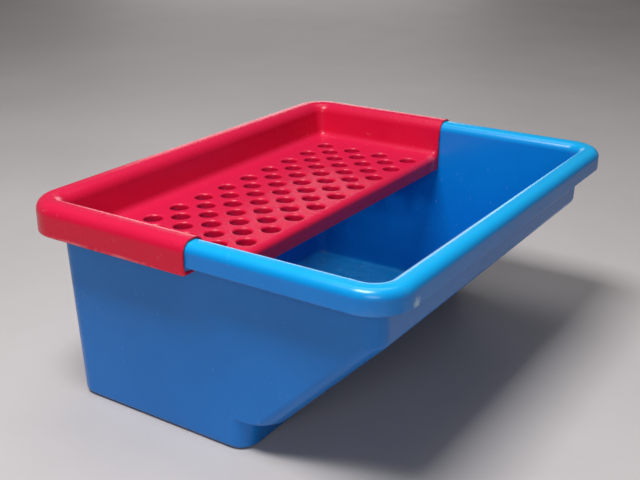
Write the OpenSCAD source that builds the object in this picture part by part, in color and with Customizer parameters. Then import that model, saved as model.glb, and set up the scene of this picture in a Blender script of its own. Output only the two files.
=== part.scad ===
// Soaking tub for flat mops with a drip tray that caps the deep half of its rim.
// +Z is up, +Y runs along the long side of the rim and +X points to the end with the ramp.
// The origin is on the floor, under the middle of the assembled object. Millimetres.

/* [Rim] */
// Length of the rim, along Y
rim_length = 500; // [460:5:540]
// Width of the rim from the deep end to the ramp end, along X
rim_width = 400; // [360:5:440]
// Height of the rim above the floor
rim_height = 207; // [190:1:230]
// Outer radius of the rim's four corners
rim_corner = 38; // [38:1:45]
// Width of the rim from its outer skirt to the inside of the wall
rim_band = 24; // [23:0.5:24.5]
// Radius of the roll on the outer edge of the rim
outer_roll = 9; // [7:0.5:10]
// Radius of the roll on the inner edge of the rim
inner_roll = 10.5; // [8:0.5:12]
// Height of the rim's hanging skirt
skirt_height = 22; // [18:1:26]

/* [Tub] */
// Wall thickness of the tub
tub_wall = 3; // [2.5:0.25:3.5]
// Draft of the tub's walls, in degrees
wall_draft = 1.5; // [1:0.1:2]
// Drop of the short end wall from the rim top to the ramp
end_wall_drop = 61; // [55:1:70]
// Slope of the ramp from the horizontal, in degrees
ramp_angle = 45.5; // [42:0.5:50]
// Height of the ledge between the ramp and the foot
ledge_height = 35; // [28:1:40]
// Distance from the deep end of the rim to the end of the foot
foot_reach = 240; // [220:1:250]
// Radius of the edge round the underside of the foot
foot_edge = 6; // [5:0.5:8]

/* [Drip tray] */
// Wall thickness of the tray
tray_wall = 2; // [1.6:0.1:2.5]
// Gap between the tray's cap and the tub's rim
cap_gap = 0.3; // [0.2:0.05:0.5]
// Distance from the deep end of the rim to the tray's free edge
tray_reach = 201; // [190:1:215]
// Depth of the tray's floor under the rim top
tray_depth = 38; // [34:1:42]
// Depth of the tray cap's outer skirt under the rim top
tray_skirt = 29; // [26:1:32]
// Height of the lip that hangs from the free edge of the floor
lip_height = 19; // [12:1:24]
// Draft of the tray's walls, in degrees
tray_draft = 8; // [4:1:10]
// Radius between the tray's walls and its floor
tray_fillet = 8; // [6:0.5:8.5]

/* [Drain holes] */
// Diameter of a drain hole
hole_diameter = 19; // [16:0.5:20]
// Distance between neighbours in a row
hole_pitch = 40; // [36:1:44]
// Distance between rows
row_pitch = 19.6; // [18:0.1:20]
// Distance from the tray's free edge to the nearest row
last_row = 19.5; // [19:0.5:22]
// Depth of the collar round a drain hole, from the top of the floor
collar_depth = 9; // [6:0.5:12]
// Wall thickness of the collar
collar_wall = 1.6; // [1.2:0.1:2]

/* [Hidden] */
blue = [0.10, 0.42, 0.75];
red = [0.85, 0.10, 0.22];

cap_rise = cap_gap + tray_wall;                     // how far the cap stands proud of the rim
frame_shift = [(cap_rise - rim_width) / 2, -rim_length / 2, rim_height];

corner_steps = 6;                                   // segments in a corner of the tub
roll_steps = 5;                                     // segments in a rolled or filleted edge of the tub
cap_steps = 8;                                      // segments in a rolled or filleted edge of the tray
wall_top = rim_band - tub_wall;                     // inset of the wall's outer face under the rim
wall_start = -inner_roll;                           // where the rim turns into the wall, from the rim top
corner_growth = 0.015;                              // gain of the wall's corner radius per mm of depth
foot_draft = 6;                                     // slope of the foot's free end, in degrees
ledge_fall = 1;                                     // drop of the ledge towards the well
top_bend = 8;                                       // radius between the end wall and the ramp
ramp_bend = 20;                                     // radius between the ramp and the ledge
step_bend = 4;                                      // radius between the ledge and the foot
floor_fillet = 6;                                   // radius round the inside of the well's floor

lip_bottom = -tray_depth - lip_height;              // from the rim top
lip_side = 2;                                       // inset of the lip's ends from the tub's inner wall
edge_bend = 6.5;                                    // radius over the free edge of the floor
rows = 7;                                           // rows of drain holes
long_row = 10;                                      // holes in an even row; an odd row has one less
arc_fn = 64;                                        // segments in a full circle
spare = 1;                                          // how far a cut runs past what it cuts

// ---- plane geometry -------------------------------------------------------------------------

// Points on an arc round a centre
function arc(centre, radius, from, to, steps) =
    [for (i = [0:steps]) let (a = from + (to - from) * i / steps)
        centre + radius * [cos(a), sin(a)]];

function unit(v) = v / norm(v);
function left_of(v) = [-v[1], v[0]];

// The corner at b between a and c, rounded to a radius
function rounded(a, b, c, radius, steps) =
    let (u = unit(a - b), w = unit(c - b), half = acos(u * w) / 2,
         centre = b + unit(u + w) * radius / sin(half),
         start = b + u * radius / tan(half) - centre,
         turn = (180 - 2 * half) * sign(cross(w, u)),
         first = atan2(start[1], start[0]))
    arc(centre, radius, first, first + turn, steps);

// The vertex b of the path a-b-c, moved to the left of the path by a distance
function moved_left(a, b, c, distance) =
    let (m = left_of(unit(b - a)), n = left_of(unit(c - b)))
    b + (m + n) * distance / (1 + m * n);

// ---- tub --------------------------------------------------------------------------------------

// Everything here is measured from the corner of the rim's footprint, with Z = 0 at the rim top.
function wall_inset(z) = wall_top + (wall_start - z) * tan(wall_draft);
function wall_corner(z) = rim_corner - wall_top + (wall_start - z) * corner_growth;

// One closed outline of the tub: its height, side inset, X of the ramp end and corner radius
function ring(z, inset, ramp_end, radius) =
    [for (c = [0:3], i = [0:corner_steps])
        let (a = 90 * (c + i / corner_steps),
             x = (c == 0 || c == 3) ? ramp_end - radius : inset + radius,
             y = (c < 2) ? rim_length - inset - radius : inset + radius)
        [x + radius * cos(a), y + radius * sin(a), z]];

// An outline of the rim, whose corners all share the rim's corner centres
function rim_ring(p) = ring(p[1], p[0], rim_width - p[0], rim_corner - p[0]);

// An outline of the wall, moved in by a thickness; p is a point on the profile of the ramp end.
// Below p the outline may sink and draw in further, to round the foot of the wall.
function wall_ring(p, thick, sink = 0, squeeze = 0) =
    ring(p[1] - sink, wall_inset(p[1]) + thick + squeeze, p[0] - squeeze,
         wall_corner(p[1]) - thick - squeeze);

// Ramp end of the tub from under the rim to the floor, in X and Z, on its outer face
end_top = [rim_width - wall_top, wall_start];
end_foot = [rim_width - wall_inset(-end_wall_drop), -end_wall_drop];
ledge_z = ledge_height - rim_height;
ramp_foot = [end_foot[0] - (end_foot[1] - ledge_z) / tan(ramp_angle), ledge_z];
floor_end = [foot_reach, -rim_height];
step_top = [foot_reach + (ledge_z - ledge_fall + rim_height) * tan(foot_draft), ledge_z - ledge_fall];

// The same profile at a depth inside the material, down to a floor level
function end_profile(depth, floor_z, convex, concave) =
    let (a = end_top - [depth, 0],
         b = moved_left(end_top, end_foot, ramp_foot, -depth),
         c = moved_left(end_foot, ramp_foot, step_top, -depth),
         d = moved_left(ramp_foot, step_top, floor_end, -depth),
         e = [floor_end[0] - depth / cos(foot_draft) + (floor_z + rim_height) * tan(foot_draft), floor_z])
    concat([a],
           rounded(a, b, c, top_bend + convex, roll_steps),
           rounded(b, c, d, ramp_bend + convex, roll_steps),
           rounded(c, d, e, step_bend + concave, roll_steps),
           [e]);

// One skin of the tub's wall, from under the rim down and in to its flat floor
function wall_skin(profile, thick, radius) =
    let (foot = profile[len(profile) - 1])
    concat([for (p = tail(profile)) wall_ring(p, thick)],
           [for (i = [1:roll_steps]) let (a = 90 * i / roll_steps)
               wall_ring(foot, thick, radius * sin(a), radius * (1 - cos(a)))]);

function reversed(list) = [for (i = [len(list) - 1:-1:0]) list[i]];
function tail(list) = [for (i = [1:len(list) - 1]) list[i]];

outer_skin = wall_skin(end_profile(0, foot_edge - rim_height, 0, 0), 0, foot_edge);
inner_skin = wall_skin(end_profile(tub_wall, tub_wall + floor_fillet - rim_height, -tub_wall, tub_wall),
                       tub_wall, floor_fillet);

// Section through the rim from the inside of the wall over to the skirt and back to the wall
rim_over = concat(
    arc([rim_band - inner_roll, -inner_roll], inner_roll, 0, 90, roll_steps),
    arc([outer_roll, -outer_roll], outer_roll, 90, 180, roll_steps),
    [[0, -skirt_height]]);
rim_under = concat(
    [[tub_wall, -skirt_height]],
    arc([outer_roll, -outer_roll], outer_roll - tub_wall, 180, 90, roll_steps),
    arc([rim_band - inner_roll, -inner_roll], inner_roll - tub_wall, 90, 0, roll_steps));

tub_rings = concat(
    reversed(inner_skin),
    [for (p = rim_over) rim_ring(p)],
    [for (p = rim_under) rim_ring(p)],
    outer_skin);

// A closed skin over a list of outlines that have the same number of points
module skin(rings) {
    n = len(rings[0]);
    last = len(rings) - 1;
    polyhedron(
        points = [for (r = rings) each r],
        faces = concat(
            [[for (i = [0:n - 1]) i]],
            [for (k = [0:last - 1], i = [0:n - 1]) let (j = (i + 1) % n)
                [k * n + i, (k + 1) * n + i, (k + 1) * n + j]],
            [for (k = [0:last - 1], i = [0:n - 1]) let (j = (i + 1) % n)
                [k * n + i, (k + 1) * n + j, k * n + j]],
            [[for (i = [n - 1:-1:0]) last * n + i]]));
}

module tub() {
    color(blue) translate(frame_shift) skin(tub_rings);
}

// ---- drip tray --------------------------------------------------------------------------------

tray_face = rim_band + cap_gap;                     // inset of the tray wall's outer face, at the roll
roll_centre = [rim_band - inner_roll, -inner_roll];
tray_slope = tan(tray_draft);

// Inset of the tray's inner wall face at a height
function tray_inner(z) = tray_face + tray_wall + (-inner_roll - z) * tray_slope;

// The wall and fillet at a depth inside the tray's inner face, from the roll down to the floor
function tray_bowl(depth) =
    let (top = [tray_inner(-inner_roll) - depth, -inner_roll],
         knee = [tray_inner(-tray_depth) - depth * (1 - tray_slope), -tray_depth - depth],
         floor_in = [knee[0] + 2 * tray_fillet, knee[1]])
    concat([top], rounded(top, knee, floor_in, tray_fillet + depth, cap_steps));

bowl_end = tray_bowl(0)[cap_steps + 1][0];          // inset where the fillet meets the flat floor

// Section through the cap: over the rim from the wall to the skirt, and back underneath
cap_over = concat(
    arc(roll_centre, inner_roll + cap_rise, 0, 90, cap_steps),
    arc([outer_roll, -outer_roll], outer_roll + cap_rise, 90, 180, cap_steps),
    [[-cap_rise, -tray_skirt]]);
cap_under = concat(
    [[-cap_gap, -tray_skirt]],
    arc([outer_roll, -outer_roll], outer_roll + cap_gap, 180, 90, cap_steps),
    arc(roll_centre, inner_roll + cap_gap, 90, 0, cap_steps));

// Closed section of the cap, the wall and the fillet into the floor
tray_section = concat(tail(cap_over), cap_under, tail(tray_bowl(tray_wall)), reversed(tray_bowl(0)));

// The section along the deep end, between the two corners
module end_run() {
    translate([0, rim_length - rim_corner, 0]) rotate([90, 0, 0])
        linear_extrude(rim_length - 2 * rim_corner) polygon(tray_section);
}

// The section along a long side, from the corner to the free edge
module side_run() {
    translate([rim_corner, 0, 0]) rotate([90, 0, 90])
        linear_extrude(tray_reach - rim_corner) polygon(tray_section);
}

// The section turned round a corner of the rim
module corner_turn() {
    translate([rim_corner, rim_corner, 0]) rotate([0, 0, 180])
        rotate_extrude(angle = 90, $fn = arc_fn)
            polygon([for (p = tray_section) [rim_corner - p[0], p[1]]]);
}

// Builds its children at both long sides of the rim
module both_sides() {
    children();
    translate([0, rim_length, 0]) mirror([0, 1, 0]) children();
}

module tray_floor() {
    translate([bowl_end, bowl_end, -tray_depth - tray_wall])
        cube([tray_reach - bowl_end, rim_length - 2 * bowl_end, tray_wall]);
}

// Half the outline of the hollow above the tray's floor, seen along X, halfway into the wall
mid_wall = tray_bowl(tray_wall / 2);
hollow = concat([[mid_wall[0][0], 0]], mid_wall);

// Plate across the free edge: the lip under the floor and a narrow flange beside each wall
module end_plate() {
    plate_top = wall_start - tray_wall;
    side_top = rim_band + lip_side / 2;
    side_bottom = rim_band + lip_side;
    translate([tray_reach - tray_wall, 0, 0]) rotate([90, 0, 90]) linear_extrude(tray_wall)
        difference() {
            polygon([[side_top, plate_top], [side_bottom, lip_bottom],
                     [rim_length - side_bottom, lip_bottom], [rim_length - side_top, plate_top]]);
            polygon(concat(hollow, reversed([for (p = hollow) [rim_length - p[0], p[1]]])));
        }
}

bend_centre = [tray_reach - edge_bend, -tray_depth - edge_bend];
cut_start = bowl_end + tray_wall;                   // the bend stops short of the side walls

// Builds a section in X and Z all along the free edge, between the side walls
module along_edge(section) {
    translate([0, rim_length - cut_start, 0]) rotate([90, 0, 0])
        linear_extrude(rim_length - 2 * cut_start) polygon(section);
}

// Fillet under the bend, between the floor and the lip
module edge_fillet() {
    middle = [tray_reach - tray_wall / 2, -tray_depth - tray_wall / 2];
    along_edge(concat(arc(bend_centre, edge_bend - tray_wall, 0, 90, cap_steps),
                      [[bend_centre[0], middle[1]], middle, [middle[0], bend_centre[1]]]));
}

// Material outside the bend over the free edge of the floor
module edge_cutter() {
    outside = [tray_reach + spare, -tray_depth + spare];
    along_edge(concat(arc(bend_centre, edge_bend, 0, 90, cap_steps),
                      [[bend_centre[0], outside[1]], outside, [outside[0], bend_centre[1]]]));
}

// Builds its children at the middle of every drain hole, at the top of the floor
module at_holes() {
    for (row = [0:rows - 1]) {
        count = long_row - row % 2;
        x = tray_reach - last_row - row * row_pitch;
        for (i = [0:count - 1])
            translate([x, rim_length / 2 + (i - (count - 1) / 2) * hole_pitch, -tray_depth]) children();
    }
}

// Short tubes under the floor, one round each drain hole
module collars() {
    at_holes() translate([0, 0, -collar_depth])
        cylinder(d = hole_diameter + 2 * collar_wall, h = collar_depth - tray_wall / 2, $fn = arc_fn);
}

module drain_holes() {
    at_holes() translate([0, 0, -collar_depth - spare])
        cylinder(d = hole_diameter, h = collar_depth + 2 * spare, $fn = arc_fn);
}

module drip_tray() {
    color(red) translate(frame_shift)
        difference() {
            union() {
                end_run();
                both_sides() {
                    side_run();
                    corner_turn();
                }
                tray_floor();
                end_plate();
                edge_fillet();
                collars();
            }
            edge_cutter();
            drain_holes();
        }
}

tub();
drip_tray();
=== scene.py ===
"""Looks of a flat-mop soaking tub and its drip tray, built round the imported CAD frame.

Shapes are worked out in millimetres from the corner of the rim's footprint: x runs from the deep
end to the ramp end, y from the front to the back, and z = 0 is the top of the tub's rim.
"""
import math

import bmesh
import bpy
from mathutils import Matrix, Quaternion, Vector
from mathutils.geometry import delaunay_2d_cdt


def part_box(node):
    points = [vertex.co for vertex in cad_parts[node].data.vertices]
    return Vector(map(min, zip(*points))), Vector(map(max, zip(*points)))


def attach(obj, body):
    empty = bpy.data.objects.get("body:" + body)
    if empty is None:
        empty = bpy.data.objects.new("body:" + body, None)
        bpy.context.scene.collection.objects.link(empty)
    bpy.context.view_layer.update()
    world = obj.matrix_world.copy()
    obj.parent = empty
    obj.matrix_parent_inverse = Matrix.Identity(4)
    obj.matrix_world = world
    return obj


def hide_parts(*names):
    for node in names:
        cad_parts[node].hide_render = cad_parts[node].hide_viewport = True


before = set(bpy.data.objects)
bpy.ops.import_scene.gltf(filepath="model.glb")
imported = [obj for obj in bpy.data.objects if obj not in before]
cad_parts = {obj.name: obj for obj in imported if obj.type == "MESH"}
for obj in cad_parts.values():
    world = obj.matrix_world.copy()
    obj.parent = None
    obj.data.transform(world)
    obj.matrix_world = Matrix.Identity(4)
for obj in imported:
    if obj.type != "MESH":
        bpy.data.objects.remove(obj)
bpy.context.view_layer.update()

# ---- places and sizes from the frame ------------------------------------------------------------

MM = 0.001
TUB_LOW, TUB_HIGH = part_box("tub")
TRAY_LOW, TRAY_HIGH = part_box("drip_tray")
RIM_WIDTH = (TUB_HIGH.x - TUB_LOW.x) / MM
RIM_LENGTH = (TUB_HIGH.y - TUB_LOW.y) / MM
FLOOR = -TUB_HIGH.z / MM
CAP_RISE = (TUB_LOW.x - TRAY_LOW.x) / MM
TRAY_REACH = (TRAY_HIGH.x - TUB_LOW.x) / MM
LIP_BOTTOM = (TRAY_LOW.z - TUB_HIGH.z) / MM


def placed(point):
    """A point of the shapes' own frame, in metres of the CAD frame."""
    x, y, z = point
    return Vector((TUB_LOW.x + x * MM, TUB_LOW.y + y * MM, TUB_HIGH.z + z * MM))


# ---- sizes of the mouldings, in millimetres -----------------------------------------------------

RIM_CORNER = 38
RIM_BAND = 24
OUTER_ROLL = 9
INNER_ROLL = 10.5
SKIRT_HEIGHT = 22
SKIRT_EDGE = 1.2
TUB_WALL = 3
WALL_DRAFT = math.radians(1.5)
CORNER_GROWTH = 0.015
WALL_START = -INNER_ROLL

END_WALL_DROP = 61
RAMP_ANGLE = math.radians(45.5)
LEDGE_HEIGHT = 35
LEDGE_FALL = 1
FOOT_REACH = 240
FOOT_DRAFT = math.radians(6)
FOOT_EDGE = 6
FLOOR_FILLET = 6
TOP_BEND, RAMP_BEND, STEP_BEND = 8, 20, 4

TRAY_WALL = 2
TRAY_DEPTH = 38
TRAY_SKIRT = 29
TRAY_SLOPE = math.tan(math.radians(8))
TRAY_FILLET = 8
EDGE_BEND = 6.5
CURL_BEND = 2.8
CURL_TOP, CURL_FULL = -12.5, -28
LIP_INSET_TOP, LIP_INSET_BOTTOM = 25, 26
LIP_CORNER = 3
RIM_BEVEL = 0.6

HOLE_RADIUS = 9.5
HOLE_LIP = 2.4
HOLE_MARGIN = 0.5
COLLAR_DEPTH = 9
HOLE_PITCH = 40
ROW_PITCH = 19.6
LAST_ROW = 19.5
ROWS = 7
LONG_ROW = 10


# ---- plane geometry -----------------------------------------------------------------------------

NEAR = 1e-6
PARALLEL = 1e-9


def arc(centre, radius, start, end, steps):
    """Points on an arc, from a start angle to an end angle in degrees."""
    angles = [math.radians(start + (end - start) * i / steps) for i in range(steps + 1)]
    return [(centre[0] + radius * math.cos(a), centre[1] + radius * math.sin(a)) for a in angles]


def rounded(a, b, c, radius, steps):
    """The corner at b between a and c, rounded to a radius."""
    a, b, c = Vector(a), Vector(b), Vector(c)
    u, w = (a - b).normalized(), (c - b).normalized()
    half = u.angle(w) / 2
    centre = b + (u + w).normalized() * radius / math.sin(half)
    start = b + u * radius / math.tan(half) - centre
    turn = (math.pi - 2 * half) * (1 if w.x * u.y - w.y * u.x > 0 else -1)
    first = math.degrees(math.atan2(start.y, start.x))
    return arc(centre, radius, first, first + math.degrees(turn), steps)


def moved_left(a, b, c, distance):
    """The vertex b of the path a-b-c, moved to the left of the path."""
    def left(p, q):
        d = (Vector(q) - Vector(p)).normalized()
        return Vector((-d.y, d.x))
    m, n = left(a, b), left(b, c)
    return tuple(Vector(b) + (m + n) * distance / (1 + m.dot(n)))


def between(a, b, steps):
    """Evenly spaced points strictly between a and b."""
    return [tuple(p + (q - p) * i / steps for p, q in zip(a, b)) for i in range(1, steps)]


def new_piece(name, bm):
    """A smooth-shaded object made from a bmesh, which is used up."""
    mesh = bpy.data.meshes.new(name)
    bm.to_mesh(mesh)
    bm.free()
    mesh.shade_smooth()
    piece = bpy.data.objects.new(name, mesh)
    bpy.context.scene.collection.objects.link(piece)
    return piece


# ---- tub ----------------------------------------------------------------------------------------

CORNER_STEPS = 14
ROLL_STEPS = 12
EDGE_STEPS = 4
RUN_STEPS = 10
END_WALL_SPANS, RAMP_SPANS, LEDGE_SPANS = 4, 10, 3


def wall_inset(z):
    """How far inside the rim's footprint the outside of the wall stands at a height."""
    return RIM_BAND - TUB_WALL + (WALL_START - z) * math.tan(WALL_DRAFT)


def wall_corner(z):
    """Radius of the corners of the wall's outside at a height."""
    return RIM_CORNER - RIM_BAND + TUB_WALL + (WALL_START - z) * CORNER_GROWTH


def ring(z, inset, ramp_end, radius):
    """One closed outline of the tub, anticlockwise from the ramp end's back corner."""
    low, high = inset + radius, RIM_LENGTH - inset - radius
    centres = [(ramp_end - radius, high), (inset + radius, high),
               (inset + radius, low), (ramp_end - radius, low)]
    corners = [arc(c, radius, 90 * k, 90 * k + 90, CORNER_STEPS) for k, c in enumerate(centres)]
    outline = []
    for k, corner in enumerate(corners):
        outline += corner + between(corner[-1], corners[(k + 1) % 4][0], RUN_STEPS)
    return [(x, y, z) for x, y in outline]


def rim_ring(point):
    """An outline round the rim, at a point (inset, z) of its section."""
    inset, z = point
    return ring(z, inset, RIM_WIDTH - inset, RIM_CORNER - inset)


def wall_ring(point, thick, sink=0.0, squeeze=0.0):
    """An outline of the wall at a point on the ramp end's profile, moved in by a thickness.

    The sink and the squeeze lower it and draw it in further, as it rounds into a flat floor.
    """
    x, z = point
    return ring(z - sink, wall_inset(z) + thick + squeeze, x - squeeze,
                wall_corner(z) - thick - squeeze)


def end_profile(depth, floor_z, convex, concave):
    """The ramp end from under the rim to the floor, at a depth inside the material."""
    ledge_z = FLOOR + LEDGE_HEIGHT
    end_top = (RIM_WIDTH - wall_inset(WALL_START), WALL_START)
    end_foot = (RIM_WIDTH - wall_inset(-END_WALL_DROP), -END_WALL_DROP)
    ramp_foot = (end_foot[0] - (end_foot[1] - ledge_z) / math.tan(RAMP_ANGLE), ledge_z)
    step_rise = ledge_z - LEDGE_FALL - FLOOR
    step_top = (FOOT_REACH + step_rise * math.tan(FOOT_DRAFT), ledge_z - LEDGE_FALL)
    floor_end = (FOOT_REACH, FLOOR)

    a = (end_top[0] - depth, end_top[1])
    b = moved_left(end_top, end_foot, ramp_foot, -depth)
    c = moved_left(end_foot, ramp_foot, step_top, -depth)
    d = moved_left(ramp_foot, step_top, floor_end, -depth)
    e = (FOOT_REACH - depth / math.cos(FOOT_DRAFT) + (floor_z - FLOOR) * math.tan(FOOT_DRAFT), floor_z)
    top = rounded(a, b, c, TOP_BEND + convex, ROLL_STEPS)
    ramp = rounded(b, c, d, RAMP_BEND + convex, ROLL_STEPS)
    step = rounded(c, d, e, STEP_BEND + concave, ROLL_STEPS)
    return ([a] + between(a, top[0], END_WALL_SPANS) + top
            + between(top[-1], ramp[0], RAMP_SPANS) + ramp
            + between(ramp[-1], step[0], LEDGE_SPANS) + step
            + between(step[-1], e, LEDGE_SPANS) + [e])


def wall_skin(profile, thick, radius):
    """The outlines of one skin of the wall, down to and round into its flat floor."""
    turns = [math.radians(90 * i / ROLL_STEPS) for i in range(1, ROLL_STEPS + 1)]
    return ([wall_ring(p, thick) for p in profile[1:]]
            + [wall_ring(profile[-1], thick, radius * math.sin(a), radius * (1 - math.cos(a)))
               for a in turns])


def tub_outlines():
    """Every outline of the tub, from the well's floor over the rim to the underside of the foot."""
    outer = wall_skin(end_profile(0, FLOOR + FOOT_EDGE, 0, 0), 0, FOOT_EDGE)
    inner_start = FLOOR + TUB_WALL + FLOOR_FILLET
    inner = wall_skin(end_profile(TUB_WALL, inner_start, -TUB_WALL, TUB_WALL), TUB_WALL, FLOOR_FILLET)
    inner_centre, outer_centre = (RIM_BAND - INNER_ROLL, -INNER_ROLL), (OUTER_ROLL, -OUTER_ROLL)
    edge_z = -SKIRT_HEIGHT + SKIRT_EDGE
    over = (arc(inner_centre, INNER_ROLL, 0, 90, ROLL_STEPS)
            + arc(outer_centre, OUTER_ROLL, 90, 180, ROLL_STEPS)
            + arc((SKIRT_EDGE, edge_z), SKIRT_EDGE, 180, 270, EDGE_STEPS))
    under = (arc((TUB_WALL - SKIRT_EDGE, edge_z), SKIRT_EDGE, 270, 360, EDGE_STEPS)
             + arc(outer_centre, OUTER_ROLL - TUB_WALL, 180, 90, ROLL_STEPS)
             + arc(inner_centre, INNER_ROLL - TUB_WALL, 90, 0, ROLL_STEPS))
    return inner[::-1] + [rim_ring(p) for p in over + under] + outer


def make_tub():
    """The whole tub as one closed skin through its outlines, with a floor at each end."""
    bm = bmesh.new()
    rings = [[bm.verts.new(placed(p)) for p in outline] for outline in tub_outlines()]
    count = len(rings[0])
    for low, high in zip(rings, rings[1:]):
        for i in range(count):
            j = (i + 1) % count
            bm.faces.new((low[i], low[j], high[j], high[i]))
    bm.faces.new(rings[0][::-1])
    bm.faces.new(rings[-1])
    bmesh.ops.recalc_face_normals(bm, faces=bm.faces)
    tub = new_piece("tub_moulding", bm)
    tub.modifiers.new("even_shading", "WEIGHTED_NORMAL").keep_sharp = True
    return tub


# ---- drip tray ----------------------------------------------------------------------------------

CAP_STEPS = 10
CAP_SKIRT_SPANS, TRAY_WALL_SPANS = 6, 8
BEND_STEPS = 8
LIP_STEPS = 5
LIP_CORNER_STEPS = 6
SIDE_STEPS = 14
END_STEPS = 30
FLOOR_SPANS = 40
HOLE_STEPS = 40
HOLE_BENDS = 5
COLLAR_SPANS = 3


class Skin:
    """A mesh that grows face by face, sharing a vertex wherever two points coincide."""

    def __init__(self):
        self.bm = bmesh.new()
        self.known = {}

    def vert(self, point):
        key = tuple(round(c, 3) for c in point)
        if key not in self.known:
            self.known[key] = self.bm.verts.new(placed(point))
        return self.known[key]

    def face(self, points):
        corners = []
        for point in points:
            vert = self.vert(point)
            if vert not in corners:
                corners.append(vert)
        if len(corners) > 2:
            self.bm.faces.new(corners)

    def strip(self, low, high):
        """Faces between two rows of points."""
        for k in range(len(low) - 1):
            self.face((low[k], low[k + 1], high[k + 1], high[k]))


def tray_section():
    """Top skin of the tray from the cap's skirt over the rim and down to the flat floor."""
    inner_centre, outer_centre = (RIM_BAND - INNER_ROLL, -INNER_ROLL), (OUTER_ROLL, -OUTER_ROLL)
    skirt_foot = (-CAP_RISE, -TRAY_SKIRT)
    outer = arc(outer_centre, OUTER_ROLL + CAP_RISE, 180, 90, CAP_STEPS)
    inner = arc(inner_centre, INNER_ROLL + CAP_RISE, 90, 0, CAP_STEPS)
    wall_top = inner[-1]
    knee = (wall_top[0] + (WALL_START + TRAY_DEPTH) * TRAY_SLOPE, -TRAY_DEPTH)
    fillet = rounded(wall_top, knee, (knee[0] + 2 * TRAY_FILLET, -TRAY_DEPTH), TRAY_FILLET, CAP_STEPS)
    return ([skirt_foot] + between(skirt_foot, outer[0], CAP_SKIRT_SPANS) + outer + inner
            + between(wall_top, fillet[0], TRAY_WALL_SPANS) + fillet)


def section_normals(section):
    """Unit normals of the section, towards the underside of the tray."""
    normals = []
    for k in range(len(section)):
        before, after = Vector(section[max(k - 1, 0)]), Vector(section[min(k + 1, len(section) - 1)])
        along = (after - before).normalized()
        normals.append(Vector((along.y, -along.x)))
    return normals


def curl_turn(z):
    """How far the free edge has curled at a height, from 0 to a right angle.

    It goes by height alone, so the free end of the cap's skirt curls in as well as the wall.
    """
    share = min(max((CURL_TOP - z) / (CURL_TOP - CURL_FULL), 0), 1)
    return math.pi / 2 * share * share * (3 - 2 * share)


def lip_outline():
    """Front half of the outline of the plate across the free edge, from the top of its side."""
    top, corner = (LIP_INSET_TOP, CURL_TOP), (LIP_INSET_BOTTOM, LIP_BOTTOM)
    middle = (RIM_LENGTH / 2, LIP_BOTTOM)
    return [top] + rounded(top, corner, middle, LIP_CORNER, LIP_CORNER_STEPS) + [middle]


def hit(start, direction, outline):
    """Where a ray from start first crosses an open outline."""
    best = None
    for a, b in zip(outline, outline[1:]):
        edge = (b[0] - a[0], b[1] - a[1])
        cross = direction[0] * edge[1] - direction[1] * edge[0]
        if abs(cross) < PARALLEL:
            continue
        gap = (a[0] - start[0], a[1] - start[1])
        along = (gap[0] * edge[1] - gap[1] * edge[0]) / cross
        share = (gap[0] * direction[1] - gap[1] * direction[0]) / cross
        if along > 0 and -NEAR <= share <= 1 + NEAR and (best is None or along < best):
            best = along
    return (start[0] + direction[0] * best, start[1] + direction[1] * best)


def curled_column(point, normal, outline, start_x):
    """Points across the free edge at one place on the section, as (x, inset, z) from start_x out."""
    inset, z = point
    on_floor = min(max((-z - TRAY_DEPTH + TRAY_FILLET) / TRAY_FILLET, 0), 1)
    bend = CURL_BEND + (EDGE_BEND - CURL_BEND) * on_floor
    full = curl_turn(z)
    slack = bend * (1 - math.sin(full))
    column = []
    for i in range(BEND_STEPS + 1):
        share = i / BEND_STEPS
        turn = full * share
        x = TRAY_REACH - bend * (math.sin(full) - math.sin(turn)) - (1 - share) * slack
        out = bend * (1 - math.cos(turn))
        column.append((x, inset + normal.x * out, z + normal.y * out))
    if z < CURL_FULL:
        last = column[-1][1:]
        end = hit(last, normal, outline)
        column += [(TRAY_REACH, *p) for p in between(last, end, LIP_STEPS) + [end]]
    if column[0][0] - start_x > NEAR:
        column.insert(0, (start_x, inset, z))
    return column


def hole_centres():
    """Middles of the drain holes, whose rows take turns to hold an even and an odd count."""
    centres = []
    for row in range(ROWS):
        count = LONG_ROW - row % 2
        x = TRAY_REACH - LAST_ROW - row * ROW_PITCH
        first_y = RIM_LENGTH / 2 - (count - 1) / 2 * HOLE_PITCH
        centres += [(x, first_y + i * HOLE_PITCH) for i in range(count)]
    return centres


def corner_station(angle, far):
    """Where the section stands in a corner of the rim: a function from inset to (x, y)."""
    c, s = math.cos(angle), math.sin(angle)

    def at(inset):
        reach = RIM_CORNER - inset
        y = RIM_CORNER - reach * s
        return (RIM_CORNER - reach * c, RIM_LENGTH - y if far else y)
    return at


def path_stations():
    """Where the section stands along the deep half of the rim, from the front to the back."""
    side_end = TRAY_REACH - EDGE_BEND
    xs = [side_end - (side_end - RIM_CORNER) * i / SIDE_STEPS for i in range(SIDE_STEPS + 1)]
    ys = [RIM_CORNER + (RIM_LENGTH - 2 * RIM_CORNER) * i / END_STEPS for i in range(1, END_STEPS)]
    angles = [math.pi / 2 * i / CORNER_STEPS for i in range(CORNER_STEPS + 1)]
    return ([lambda inset, x=x: (x, inset) for x in xs]
            + [corner_station(a, False) for a in angles[::-1][1:]]
            + [lambda inset, y=y: (inset, y) for y in ys]
            + [corner_station(a, True) for a in angles]
            + [lambda inset, x=x: (x, RIM_LENGTH - inset) for x in xs[::-1][1:]])


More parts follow.
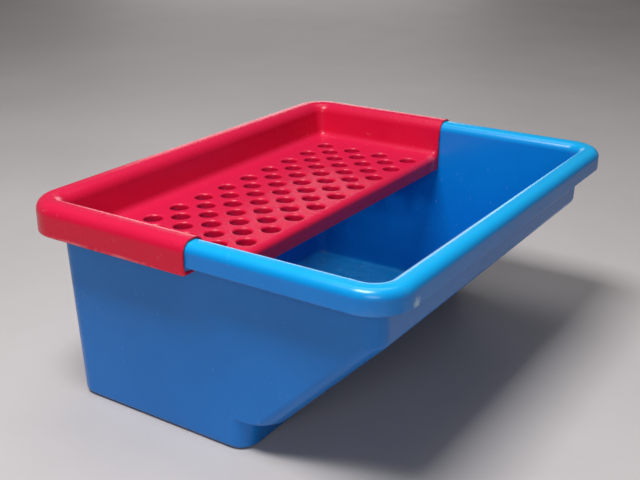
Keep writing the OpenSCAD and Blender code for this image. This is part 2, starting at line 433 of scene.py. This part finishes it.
def free_edge(skin, columns):
    """Both ends of the swept section, curled out into the plate across the free edge.

    Where one column is longer than the next, a fan of triangles closes the step between them.
    The foot of the cap's skirt is lower than CURL_FULL, so it has such a fan under the rim too,
    which meets the tub there.
    """
    for far in (False, True):
        sided = [[(x, RIM_LENGTH - y if far else y, z) for x, y, z in c] for c in columns]
        for low, high in zip(sided, sided[1:]):
            short = min(len(low), len(high))
            skin.strip(low[:short], high[:short])
            if len(low) != len(high):
                shorter, longer = sorted((low, high), key=len)
                for a, b in zip(longer[short - 1:], longer[short:]):
                    skin.face((shorter[-1], a, b))


def drain_hole(skin, centre):
    """A rounded lip that turns down into the bore of a collar; gives back its outer circle."""
    lip = arc((HOLE_RADIUS + HOLE_LIP, -TRAY_DEPTH - HOLE_LIP), HOLE_LIP, 90, 180, HOLE_BENDS)
    profile = [(HOLE_RADIUS + HOLE_LIP + HOLE_MARGIN, -TRAY_DEPTH)] + lip
    collar_foot = (HOLE_RADIUS, -TRAY_DEPTH - COLLAR_DEPTH)
    profile += between(lip[-1], collar_foot, COLLAR_SPANS) + [collar_foot]
    rings = [[(*p, z) for p in arc(centre, radius, 0, 360, HOLE_STEPS)[:-1]] for radius, z in profile]
    for low, high in zip(rings, rings[1:]):
        skin.strip(low + low[:1], high + high[:1])
    return [(x, y) for x, y, _ in rings[0]]


def tray_floor(skin, border):
    """The flat floor inside a border, with its drain holes.

    The floor and the holes are filled with triangles, and those that lie in a hole are left out.
    """
    points, loops = [Vector(p) for p in border], [range(len(border))]
    centres = [Vector(c) for c in hole_centres()]
    for centre in centres:
        loops.append(range(len(points), len(points) + HOLE_STEPS))
        points += [Vector(p) for p in drain_hole(skin, centre)]
    edges = [(loop[i - 1], loop[i]) for loop in loops for i in range(len(loop))]
    keep_all = 0
    flat, _, faces, *_ = delaunay_2d_cdt(points, edges, [], keep_all, NEAR)
    clear = HOLE_RADIUS + HOLE_LIP + HOLE_MARGIN
    for face in faces:
        middle = sum((flat[i] for i in face), Vector((0, 0))) / len(face)
        if min((middle - centre).length for centre in centres) > clear:
            skin.face([(flat[i].x, flat[i].y, -TRAY_DEPTH) for i in face])


def make_tray():
    """The tray's top skin, thickened downwards and with its edges rounded."""
    skin = Skin()
    section = tray_section()
    rows = [[(*at(inset), z) for inset, z in section] for at in path_stations()]
    for low, high in zip(rows, rows[1:]):
        skin.strip(low, high)

    outline = lip_outline()
    start_x = rows[0][0][0]
    columns = [curled_column(p, n, outline, start_x) for p, n in zip(section, section_normals(section))]
    free_edge(skin, columns)

    edge, floor_inset = columns[-1], section[-1][0]
    span = (RIM_LENGTH - 2 * floor_inset) / FLOOR_SPANS
    ys = [floor_inset + span * i for i in range(FLOOR_SPANS + 1)]
    across = [[(x, y, z) for x, _, z in edge] for y in ys]
    for low, high in zip(across, across[1:]):
        skin.strip(low, high)
    tray_floor(skin, [row[-1][:2] for row in rows] + [(start_x, y) for y in ys[::-1][1:-1]])

    # An open skin has no inside, so its faces are turned until the floor looks up.
    bmesh.ops.recalc_face_normals(skin.bm, faces=skin.bm.faces)
    floor_vert = skin.vert(rows[0][-1])
    if sum(f.normal.z for f in floor_vert.link_faces) < 0:
        bmesh.ops.reverse_faces(skin.bm, faces=skin.bm.faces)
    tray = new_piece("drip_tray_moulding", skin.bm)
    shell = tray.modifiers.new("thickness", "SOLIDIFY")
    shell.thickness = TRAY_WALL * MM
    shell.offset = -1
    shell.use_even_offset = True
    edge_round = tray.modifiers.new("rounded_edges", "BEVEL")
    edge_round.width = RIM_BEVEL * MM
    edge_round.segments = 3
    edge_round.limit_method = "ANGLE"
    edge_round.angle_limit = math.radians(50)
    edge_round.use_clamp_overlap = False
    tray.modifiers.new("even_shading", "WEIGHTED_NORMAL").keep_sharp = True
    return tray


# ---- materials ----------------------------------------------------------------------------------

# Heights in metres where the painted light on the tops and on the well's floor starts and ends.
TOP_LIGHT_HEIGHTS = (0.1, 0.17)
FLOOR_LIGHT_HEIGHTS = (0.02, 0.006)
# How bright the painted light on the well's floor is, as a share of the base and top colours added
# together.
FLOOR_LIGHT_SHARE = 0.62
SCRATCHED = 0.32
# Strength of the lighter edges, partly wear and partly a painted highlight.
EDGE_WEAR_AND_HIGHLIGHT = 0.3
PALER = 0.45
DULLED = 0.4
POLYPROPYLENE_IOR = 1.49


class Graph:
    """Short ways to add shader nodes to a material."""

    def __init__(self, name):
        self.material = bpy.data.materials.new(name)
        self.material.use_nodes = True
        self.nodes = self.material.node_tree.nodes
        self.links = self.material.node_tree.links
        self.shader = self.nodes["Principled BSDF"]
        coordinates = self.nodes.new("ShaderNodeTexCoord")
        self.place, self.normal = coordinates.outputs["Object"], coordinates.outputs["Normal"]

    def node(self, kind, **inputs):
        """A node of a kind, with its inputs linked to sockets or set to values."""
        node = self.nodes.new("ShaderNode" + kind)
        for name, value in inputs.items():
            self.put(node.inputs[name.replace("_", " ")], value)
        return node

    def put(self, socket, value):
        """Links a socket to another one, or sets it to a value."""
        if isinstance(value, bpy.types.NodeSocket):
            self.links.new(value, socket)
        else:
            socket.default_value = value

    def noise(self, scale, detail, roughness=0.5, vector=None):
        """Soft random grey in the object's own coordinates, or in those given."""
        return self.node("TexNoise", Scale=scale, Detail=detail, Roughness=roughness,
                         Vector=vector or self.place).outputs["Fac"]

    def spread(self, value, low, high, to_low=0.0, to_high=1.0):
        """A value stretched from one range to another, and held at its ends."""
        return self.node("MapRange", Value=value, From_Min=low, From_Max=high,
                         To_Min=to_low, To_Max=to_high).outputs["Result"]

    def stretched(self, scale, turn):
        """Object coordinates turned and stretched, for marks that run one way."""
        return self.node("Mapping", Vector=self.place, Scale=scale, Rotation=turn).outputs["Vector"]

    def math(self, operation, a, b):
        """Two numbers put through one operation."""
        node = self.nodes.new("ShaderNodeMath")
        node.operation = operation
        self.put(node.inputs[0], a)
        self.put(node.inputs[1], b)
        return node.outputs["Value"]

    def mixed(self, factor, a, b):
        """A colour between two others."""
        node = self.nodes.new("ShaderNodeMix")
        node.data_type = "RGBA"
        self.put(node.inputs["Factor"], factor)
        self.put(node.inputs["A"], a)
        self.put(node.inputs["B"], b)
        return node.outputs["Result"]

    def bump(self, height, strength, distance, before=None):
        """Small relief, laid over the relief before it."""
        node = self.node("Bump", Height=height, Strength=strength, Distance=distance)
        if before:
            self.links.new(before, node.inputs["Normal"])
        return node.outputs["Normal"]


def plastic(name, base, deep, lit_top, roughness, shine, knocks=()):
    """Moulded polypropylene. Its tops and the floor of its well are painted lighter as painted light, its
    edges are lighter with wear and painted highlight, and it has scuffs and grain.

    A knock is a place and a size, in metres, where the plastic is crazed pale.
    """
    g = Graph(name)
    up = g.node("SeparateXYZ", Vector=g.normal).outputs["Z"]
    edges = g.node("NewGeometry").outputs["Pointiness"]

    mottled = g.mixed(g.spread(g.noise(9, 4), 0.35, 0.65), (*deep, 1), (*base, 1))
    height = g.node("SeparateXYZ", Vector=g.place).outputs["Z"]
    # Painted light: up-facing surfaces near the rim are painted in a lighter colour, standing in for the
    # light on the tops.
    top_light_mask = g.math("MULTIPLY", g.spread(up, -0.1, 1.0), g.spread(height, *TOP_LIGHT_HEIGHTS))
    # Painted light: the up-facing floor of the well is painted paler, standing in for the light and
    # reflection there.
    floor_light_mask = g.math("MULTIPLY", g.spread(up, 0.5, 1.0), g.spread(height, *FLOOR_LIGHT_HEIGHTS))
    floor_lit_colour = tuple(FLOOR_LIGHT_SHARE * (b + f) for b, f in zip(base, lit_top))
    with_floor_light = g.mixed(floor_light_mask, mottled, (*floor_lit_colour, 1))
    top_lit = g.mixed(top_light_mask, with_floor_light, (*lit_top, 1))

    along = g.noise(40, 6, 0.7, g.stretched((1, 12, 2), (0.2, 0.1, 0.5)))
    across = g.noise(40, 6, 0.7, g.stretched((11, 1, 2), (-0.1, 0.3, -0.35)))
    patches = g.spread(g.noise(7, 3), 0.48, 0.62)
    scratches = g.math("MULTIPLY", g.spread(g.math("MAXIMUM", along, across), 0.65, 0.73), patches)
    # Edges are painted lighter, partly as wear and partly as a painted highlight along them.
    edge_wear_and_highlight = g.math("MULTIPLY", g.spread(edges, 0.515, 0.56), g.spread(g.noise(60, 5, 0.7), 0.38, 0.66))
    marks = g.math("MAXIMUM", g.math("MULTIPLY", scratches, SCRATCHED), g.math("MULTIPLY", edge_wear_and_highlight, EDGE_WEAR_AND_HIGHLIGHT))
    # Scuffs on the well's floor lie within its painted light and make it paler still.
    floor_scuffs_and_light = g.math("MULTIPLY", floor_light_mask, g.spread(g.noise(35, 5, 0.7), 0.4, 0.7, 0.015, 0.09))
    marks = g.math("MAXIMUM", marks, floor_scuffs_and_light)
    for place, size in knocks:
        away = g.node("VectorMath", Vector=g.place)
        away.operation = "DISTANCE"
        away.inputs[1].default_value = place
        near = g.spread(away.outputs["Value"], size, size * 0.3)
        crazed = g.math("MULTIPLY", near, g.spread(g.noise(420, 4, 0.8), 0.38, 0.5))
        marks = g.math("MAXIMUM", marks, crazed)
    pale = tuple(c + (1 - c) * PALER for c in lit_top)
    g.put(g.shader.inputs["Base Color"], g.mixed(marks, top_lit, (*pale, 1)))

    gloss = g.spread(g.noise(22, 5, 0.6), 0.3, 0.7, roughness * 0.85, roughness * 1.2)
    g.put(g.shader.inputs["Roughness"], g.math("ADD", gloss, g.math("MULTIPLY", marks, DULLED)))
    g.shader.inputs["IOR"].default_value = POLYPROPYLENE_IOR
    g.shader.inputs["Specular IOR Level"].default_value = shine

    grain = g.bump(g.noise(1100, 3, 0.6), 0.1, 0.0002)
    cuts = g.bump(scratches, 0.2, 0.0001, grain)
    ripple = g.bump(g.noise(11, 2), 0.22, 0.0009, cuts)
    g.put(g.shader.inputs["Normal"], ripple)
    return g.material


def floor_material():
    """A pale matt floor of uneven tone."""
    g = Graph("pale_floor")
    tone = g.mixed(g.spread(g.noise(3, 5, 0.6), 0.3, 0.7), (0.43, 0.405, 0.405, 1), (0.47, 0.445, 0.445, 1))
    g.put(g.shader.inputs["Base Color"], tone)
    g.shader.inputs["Roughness"].default_value = 0.65
    return g.material


# ---- stage, lights and camera -------------------------------------------------------------------

STAGE_REACH = 6
LIGHT_AIM = Vector((0, 0, 0.1))


def make_stage():
    """The floor that the object stands on, wide enough for its edge to stay far off."""
    bm = bmesh.new()
    bmesh.ops.create_grid(bm, x_segments=1, y_segments=1, size=STAGE_REACH)
    floor = new_piece("floor", bm)
    floor.data.materials.append(floor_material())


def area_light(name, place, size, power):
    """A soft light that faces the object."""
    data = bpy.data.lights.new(name, "AREA")
    data.shape = "RECTANGLE"
    data.size, data.size_y = size
    data.energy = power
    light = bpy.data.objects.new(name, data)
    light.location = place
    light.rotation_euler = (LIGHT_AIM - Vector(place)).to_track_quat("-Z", "Y").to_euler()
    light.visible_camera = False
    bpy.context.scene.collection.objects.link(light)


def make_lights():
    """Four soft studio lights and a faint warm surround."""
    area_light("key", (-0.05, -0.72, 1.85), (0.8, 0.55), 42)
    area_light("overhead", (-0.2, 0.5, 2.4), (1.6, 1.1), 13)
    area_light("front_fill", (1.1, -1.9, 1.1), (1.0, 0.7), 11)
    area_light("back_glow", (-2.3, 3.2, 0.7), (1.8, 0.9), 12)
    world = bpy.data.worlds.new("studio")
    bpy.context.scene.world = world
    world.use_nodes = True
    background = world.node_tree.nodes["Background"]
    background.inputs["Color"].default_value = (1, 0.95, 0.9, 1)
    background.inputs["Strength"].default_value = 0.09
    bpy.context.scene.view_settings.view_transform = "Standard"


CAMERA_PLACE = (0.50977, -0.82011, 0.50734)
CAMERA_AZIMUTH = math.radians(33.121)
CAMERA_ELEVATION = math.radians(21.425)
CAMERA_ROLL = math.radians(0.172)
CAMERA_LENS = 54.76


def make_camera():
    """The camera, looking down at the object from the right of its front."""
    data = bpy.data.cameras.new("camera")
    data.lens = CAMERA_LENS
    data.sensor_width = 36
    data.clip_start, data.clip_end = 0.01, 50
    camera = bpy.data.objects.new("camera", data)
    back = Vector((math.sin(CAMERA_AZIMUTH) * math.cos(CAMERA_ELEVATION),
                   -math.cos(CAMERA_AZIMUTH) * math.cos(CAMERA_ELEVATION),
                   math.sin(CAMERA_ELEVATION)))
    camera.location = CAMERA_PLACE
    camera.rotation_mode = "QUATERNION"
    camera.rotation_quaternion = Quaternion(back, CAMERA_ROLL) @ (-back).to_track_quat("-Z", "Y")
    bpy.context.scene.collection.objects.link(camera)
    bpy.context.scene.camera = camera


# ---- the object ---------------------------------------------------------------------------------

make_camera()
make_stage()
make_lights()

tub = make_tub()
skirt_knock = (placed((RIM_WIDTH - 0.5, 40, -18)), 0.0065)
# Each plastic's third colour is painted light: the lighter tone painted on its up-facing tops.
tub.data.materials.append(plastic("blue_polypropylene", base=(0.002, 0.165, 0.56),
                                  deep=(0.001, 0.147, 0.51), lit_top=(0.003, 0.33, 0.66),
                                  roughness=0.24, shine=0.38, knocks=[skirt_knock]))
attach(tub, "tub")
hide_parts("tub")

tray = make_tray()
# Its third colour is likewise painted light on the tops.
tray.data.materials.append(plastic("red_polypropylene", base=(0.60, 0.004, 0.033),
                                   deep=(0.54, 0.003, 0.028), lit_top=(0.55, 0.010, 0.053),
                                   roughness=0.26, shine=0.27))
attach(tray, "drip_tray")
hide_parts("drip_tray")
